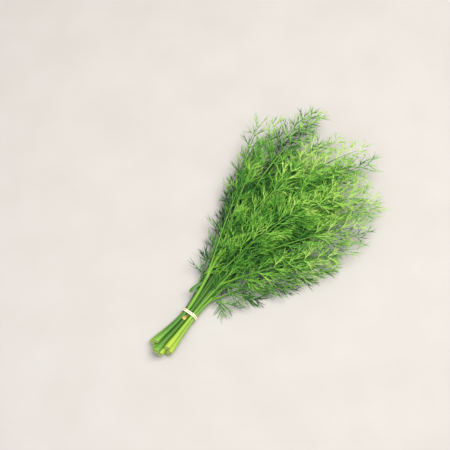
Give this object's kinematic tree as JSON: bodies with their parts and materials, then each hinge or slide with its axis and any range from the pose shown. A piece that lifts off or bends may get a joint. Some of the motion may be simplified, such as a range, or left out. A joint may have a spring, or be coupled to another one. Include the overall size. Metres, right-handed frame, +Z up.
{
  "type": "dill bunch",
  "caption": "Bunch of fresh dill lying on its side, feathery leaves fanning out from cut stems held by a rubber band wound twice round them.",
  "frame": {"origin": "on the surface that the bunch lies on, in the middle of the flat underside of the rubber band", "axes": "+X along the bunch from the cut ends to the leaf tips, +Z up from the surface, +Y to the left when looking along +X"},
  "size_m": [0.3325, 0.1816, 0.0581],
  "materials": {
    "dill_green": "fresh leaf and stem, slightly waxy",
    "cream_rubber": "matt natural rubber"
  },
  "bodies": {
    "root": {"leafy_stem_01": "dill_green", "leafy_stem_02": "dill_green", "leafy_stem_03": "dill_green", "leafy_stem_04": "dill_green", "leafy_stem_05": "dill_green", "leafy_stem_06": "dill_green", "leafy_stem_07": "dill_green", "leafy_stem_08": "dill_green", "leafy_stem_09": "dill_green", "leafy_stem_10": "dill_green", "rubber_band": "cream_rubber"}
  },
  "joints": []
}
